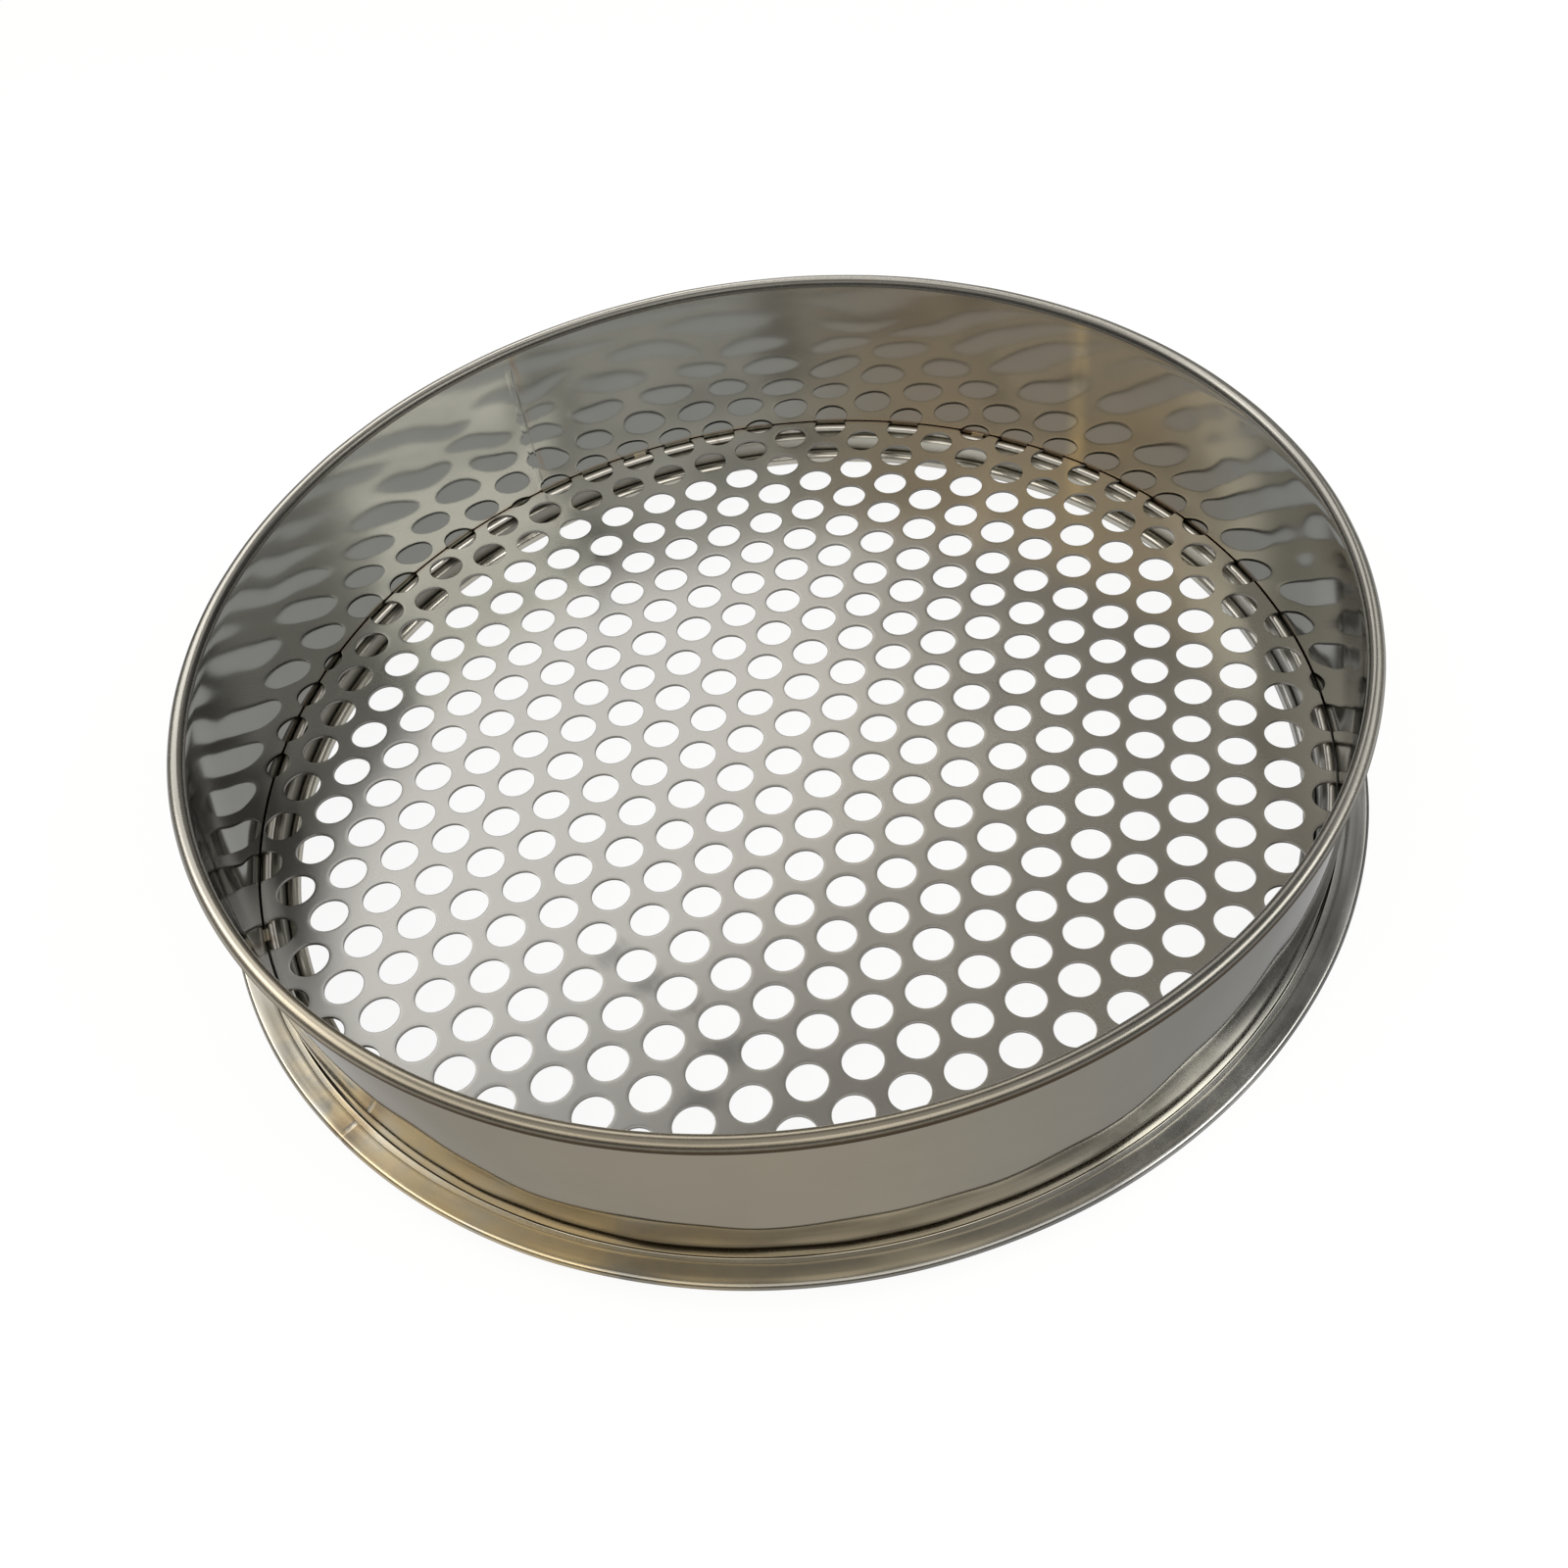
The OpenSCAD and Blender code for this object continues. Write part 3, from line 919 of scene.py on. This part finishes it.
def arc_points(middle, radius, start, sweep, count):
    """Points along an arc, without the one at its end."""
    turns = [start + sweep * k / count for k in range(count)]
    return [(middle[0] + radius * math.cos(turn), middle[1] + radius * math.sin(turn))
            for turn in turns]


def bite_loop(cuts, plate, hole, trim, setback):
    """The plate's outline at one level: arcs of its own edge and of the holes that cut it."""
    ring, bore = plate - trim, hole + setback
    spans = []
    for x, y in cuts:
        away = math.hypot(x, y)
        half = math.acos((ring ** 2 + away ** 2 - bore ** 2) / (2 * ring * away))
        spans.append((math.atan2(y, x), half, x, y))
    spans.sort()
    loop = []
    for (turn, half, x, y), after in zip(spans, spans[1:] + spans[:1]):
        first, last = [math.atan2(ring * math.sin(end) - y, ring * math.cos(end) - x)
                       for end in (turn - half, turn + half)]
        sweep = (last - first) % FULL_TURN - FULL_TURN
        loop += arc_points((x, y), bore, first, sweep, BITE_POINTS)
        start = turn + half
        run = (after[0] - after[1] - start) % FULL_TURN
        loop += arc_points((0.0, 0.0), ring, start, run, EDGE_POINTS)
    return loop


def plate_levels(sizes):
    """The loops of the plate at each level of the punched edge: outline first, then the holes."""
    plate, hole = sizes.plate_radius, sizes.hole / 2
    whole, cuts = [], []
    for x, y in hole_middles(sizes):
        web = plate - math.hypot(x, y) - hole
        if web > 0.0:
            room = (web - TRIM[0]) * EDGE_SHARE / PUNCH[0][0]
            whole.append((x, y, min(1.0, max(LEAST_SHARE, room))))
        else:
            cuts.append((x, y))
    turns = np.arange(HOLE_POINTS) * FULL_TURN / HOLE_POINTS
    levels = []
    for (setback, *_), trim in zip(PUNCH, TRIM):
        loops = [np.array(bite_loop(cuts, plate, hole, trim, setback))]
        for x, y, share in whole:
            bore = hole + setback * share
            loops.append(np.stack([x + bore * np.cos(-turns), y + bore * np.sin(-turns)], axis=1))
        levels.append(loops)
    return levels, whole


def plate_wave(x, y, sizes):
    """How far the plate stands off its plane, in millimetres, flat where it is seated."""
    wave = sum(depth * np.sin(along * x + across * y + start)
               for along, across, start, depth in PLATE_WAVES)
    fade, gone = [sizes.plate_radius - away for away in PLATE_SEATED]
    return wave * (1.0 - smooth_step(np.hypot(x, y), fade, gone))


def loop_edges(loops):
    """Edges round each loop of a level, and the number of the loop that each point is on."""
    edges, owner = [], []
    for number, loop in enumerate(loops):
        first, last = len(owner), len(owner) + len(loop)
        edges += [(k, k + 1 if k + 1 < last else first) for k in range(first, last)]
        owner += [number] * len(loop)
    return edges, owner


def web_spots(whole, flat, sizes):
    """Points in the webs between the holes, which carry the plate's wave."""
    third, half = sizes.pitch / math.sqrt(3), sizes.pitch / 2
    reach = sizes.plate_radius - EDGE_CLEAR
    spots = []
    for x, y, _ in whole:
        for turn, away in ((30.0, third), (90.0, third), (0.0, half), (60.0, half), (120.0, half)):
            turn = math.radians(turn)
            spot = (x + away * math.cos(turn), y + away * math.sin(turn))
            clear = np.hypot(flat[:, 0] - spot[0], flat[:, 1] - spot[1]).min()
            if clear > SPOT_CLEAR and math.hypot(*spot) < reach:
                spots.append(spot)
    return spots


def web_cells(spots, edges, owner):
    """Triangles between the loops. A cell whose points are all on one hole is that hole's."""
    out, _, cells, _, _, _ = delaunay_2d_cdt(spots, edges, [], 1, MERGE_DISTANCE)
    if len(out) != len(spots):
        raise RuntimeError("the plate's loops touch each other")
    return [tuple(cell) for cell in cells if max(cell) >= len(owner)
            or owner[cell[0]] == 0 or len({owner[k] for k in cell}) > 1]


def build_plate(sizes, look):
    """Plate with rolled-over punched edges and a slight wave."""
    levels, whole = plate_levels(sizes)
    top, foot = sizes.plate_top, sizes.plate_foot
    flat = np.concatenate(levels[0])
    edges, owner = loop_edges(levels[0])
    extra = web_spots(whole, flat, sizes)
    web = web_cells([tuple(spot) for spot in flat] + extra, edges, owner)
    count = len(flat)
    lowest = (len(levels) - 1) * count
    points = [np.column_stack([np.concatenate(loops), np.full(count, top - drop * (top - foot))])
              for loops, (_, drop, _) in zip(levels, PUNCH)]
    points += [np.column_stack([extra, np.full(len(extra), height)]) for height in (top, foot)]
    faces = [tuple(k if k < count else lowest + k for k in cell) for cell in web]
    faces += [tuple(lowest + k if k < count else lowest + len(extra) + k for k in reversed(cell))
              for cell in web]
    marks = ["plate"] * len(web) + ["under"] * len(web)
    for level, (*_, mark) in enumerate(PUNCH[1:]):
        above, below = level * count, (level + 1) * count
        faces += [(above + k, below + k, below + nxt, above + nxt) for k, nxt in edges]
        marks += [mark] * len(edges)
    points = np.concatenate(points)
    points[:, 2] += plate_wave(points[:, 0], points[:, 1], sizes)
    finishes = {"plate": plate_finish("mill finished plate", 0.26, look),
                "land": plate_finish("burnished edge of a hole", 0.24, look),
                "edge": punched_finish(look),
                "under": plate_finish("plate underside", 0.34, look)}
    make_piece("punched_plate", points, faces, marks, finishes, "plate_steel", "perforated_plate")


# stage


# Softboxes: name, bearing and rise of the lamp in degrees, distance, width, height, tint
SOFTBOXES = (("window", -33.0, 40.0, 1.3, 0.9, 0.46, (1.0, 0.99, 0.94)),
             ("back", 107.0, 46.0, 1.3, 1.33, 0.55, (1.0, 0.99, 0.97)),
             ("top", 240.0, 78.0, 1.4, 1.4, 1.3, (1.0, 1.0, 0.99)),
             ("left", 163.0, 46.0, 1.3, 1.4, 0.54, (1.0, 0.98, 0.93)),
             ("door", 222.0, 42.0, 1.3, 0.72, 0.5, (1.0, 0.96, 0.89)),
             ("front", 272.0, 44.0, 1.3, 0.9, 0.68, (1.0, 0.98, 0.94)),
             ("right", 18.0, 40.0, 1.3, 0.93, 0.4, (1.0, 1.0, 0.97)))
# Height that the softboxes aim at, and the watts of one square metre of them at level 1
LAMP_AIM = 0.03
LAMP_WATTS = 4.0
FLOOR_RADIUS = 8.0
FLOOR_SIDES = 96
# The photo's camera: place in millimetres, turn in degrees, lens and sensor in millimetres, shift
CAMERA_SPOT = (-66.516, -307.193, 357.029)
CAMERA_TURN = (40.7001, 4.7852, -20.9305)
CAMERA_LENS = 37.812
CAMERA_SENSOR = 36.0
CAMERA_CLIP = 0.01
CAMERA_SHIFT = (-0.04636, -0.00208)


def build_camera():
    """Camera at the photographed angle."""
    lens = bpy.data.cameras.new("camera")
    lens.sensor_width = CAMERA_SENSOR
    lens.lens = CAMERA_LENS
    lens.shift_x, lens.shift_y = CAMERA_SHIFT
    lens.clip_start = CAMERA_CLIP
    camera = add_object("camera", lens)
    camera.location = [value * MM for value in CAMERA_SPOT]
    camera.rotation_euler = [math.radians(value) for value in CAMERA_TURN]
    bpy.context.scene.camera = camera


def build_softbox(name, bearing, rise, away, width, height, tint, level):
    """A soft lamp that faces the sieve."""
    turn, lift = math.radians(bearing), math.radians(rise)
    lamp = bpy.data.lights.new(name, "AREA")
    lamp.shape = "RECTANGLE"
    lamp.size, lamp.size_y = width, height
    lamp.color = tint
    lamp.energy = LAMP_WATTS * width * height * level
    holder = add_object(name, lamp)
    holder.location = (away * math.cos(lift) * math.cos(turn),
                       away * math.cos(lift) * math.sin(turn),
                       away * math.sin(lift) + LAMP_AIM)
    holder.rotation_euler = (math.radians(90.0) - lift, 0.0, turn + math.radians(90.0))


def seen_directly(f):
    """1 for the camera, for mirror images and through glass, 0 for light that falls on things."""
    path = f.node("ShaderNodeLightPath")
    return path.larger(path.other("Is Glossy Ray")).larger(path.other("Is Transmission Ray"))


def floor_finish(look, stage):
    """White paper that keeps a soft shadow."""
    f = Finish("paper floor")
    x, y, _ = f.spot
    fleck = f.noise(0.02, spot=(x, y, 0.0))
    paper = f.node("ShaderNodeBsdfDiffuse", {},
                   {"Color": f.shade(look.floor, 0.995 + 0.01 * fleck)})
    glow = f.node("ShaderNodeEmission", {}, {"Color": (1.0, 1.0, 1.0, 1.0), "Strength": 1.0})
    both = f.node("ShaderNodeMixShader", {}, {0: stage.paper * seen_directly(f), 1: paper, 2: glow})
    f.node("ShaderNodeOutputMaterial", {}, {"Surface": both})
    f.material.cycles.emission_sampling = "NONE"
    return f.material


def build_stage(look, stage):
    """Floor, world, softboxes and camera."""
    shape = bmesh.new()
    bmesh.ops.create_circle(shape, cap_ends=True, segments=FLOOR_SIDES, radius=FLOOR_RADIUS)
    mesh = bpy.data.meshes.new("floor")
    shape.to_mesh(mesh)
    shape.free()
    mesh.materials.append(floor_finish(look, stage))
    floor = add_object("floor", mesh)
    world = bpy.data.worlds.new("studio")
    world.use_nodes = True
    light = world.node_tree.nodes["Background"].inputs
    light["Color"].default_value = (1.0, 0.97, 0.92, 1.0)
    light["Strength"].default_value = stage.world
    bpy.context.scene.world = world
    for name, *place in SOFTBOXES:
        build_softbox(name, *place, getattr(stage, name))
    build_camera()
    bpy.context.scene.view_settings.view_transform = "Standard"


# operators and panel


def run(context, *builders):
    """Makes the pieces of a step in the sizes and colours that the user has set."""
    for build in builders:
        build(in_mm(context.scene.sieve_sizes), context.scene.sieve_finish)
    return {"FINISHED"}


class BuildDrum(bpy.types.Operator):
    """Make the rolled drum with its curled rim"""

    bl_idname = "sieve.drum"
    bl_label = "Rolled drum"

    def execute(self, context):
        return run(context, build_drum)


class BuildPlate(bpy.types.Operator):
    """Make the punched plate"""

    bl_idname = "sieve.plate"
    bl_label = "Punched plate"

    def execute(self, context):
        return run(context, build_plate)


class BuildSeat(bpy.types.Operator):
    """Make the wire hoop under the plate and finish its tack welds"""

    bl_idname = "sieve.seat"
    bl_label = "Plate seat"

    def execute(self, context):
        return run(context, build_seat)


class BuildRing(bpy.types.Operator):
    """Make the stepped lower ring"""

    bl_idname = "sieve.ring"
    bl_label = "Lower ring"

    def execute(self, context):
        return run(context, build_ring)


class BuildWelds(bpy.types.Operator):
    """Make the welds that close the drum and the lower ring"""

    bl_idname = "sieve.welds"
    bl_label = "Seam welds"

    def execute(self, context):
        return run(context, build_drum_weld, build_ring_weld)


class BuildStage(bpy.types.Operator):
    """Make the floor, the softboxes and the camera"""

    bl_idname = "sieve.stage"
    bl_label = "Stage"

    def execute(self, context):
        build_stage(context.scene.sieve_finish, context.scene.sieve_stage)
        return {"FINISHED"}


class SievePanel(bpy.types.Panel):
    """The sieve's steps, sizes and colours"""

    bl_idname = "VIEW3D_PT_sieve"
    bl_label = "Sand Sieve"
    bl_space_type = "VIEW_3D"
    bl_region_type = "UI"
    bl_category = "Sieve"

    def draw(self, context):
        for step in STEPS:
            self.layout.operator(step.bl_idname)
        for group in (context.scene.sieve_sizes, context.scene.sieve_finish,
                      context.scene.sieve_stage):
            box = self.layout.box()
            for name in group.bl_rna.properties.keys():
                if name not in ("rna_type", "name"):
                    box.prop(group, name)


STEPS = (BuildDrum, BuildPlate, BuildSeat, BuildRing, BuildWelds, BuildStage)
GROUPS = {"sieve_sizes": SieveSizes, "sieve_finish": SieveFinish, "sieve_stage": SieveStage}


def register():
    """Makes the properties, steps and panel known to Blender."""
    for name, group in GROUPS.items():
        bpy.utils.register_class(group)
        setattr(bpy.types.Scene, name, PointerProperty(type=group))
    for step in STEPS:
        bpy.utils.register_class(step)
    bpy.utils.register_class(SievePanel)


def unregister():
    """Takes them out again."""
    bpy.utils.unregister_class(SievePanel)
    for step in reversed(STEPS):
        bpy.utils.unregister_class(step)
    for name, group in GROUPS.items():
        delattr(bpy.types.Scene, name)
        bpy.utils.unregister_class(group)


def main():
    """Builds the sieve and its stage."""
    register()
    bpy.ops.sieve.drum()
    bpy.ops.sieve.plate()
    bpy.ops.sieve.seat()
    bpy.ops.sieve.ring()
    bpy.ops.sieve.welds()
    bpy.ops.sieve.stage()


if __name__ == "__main__":
    main()
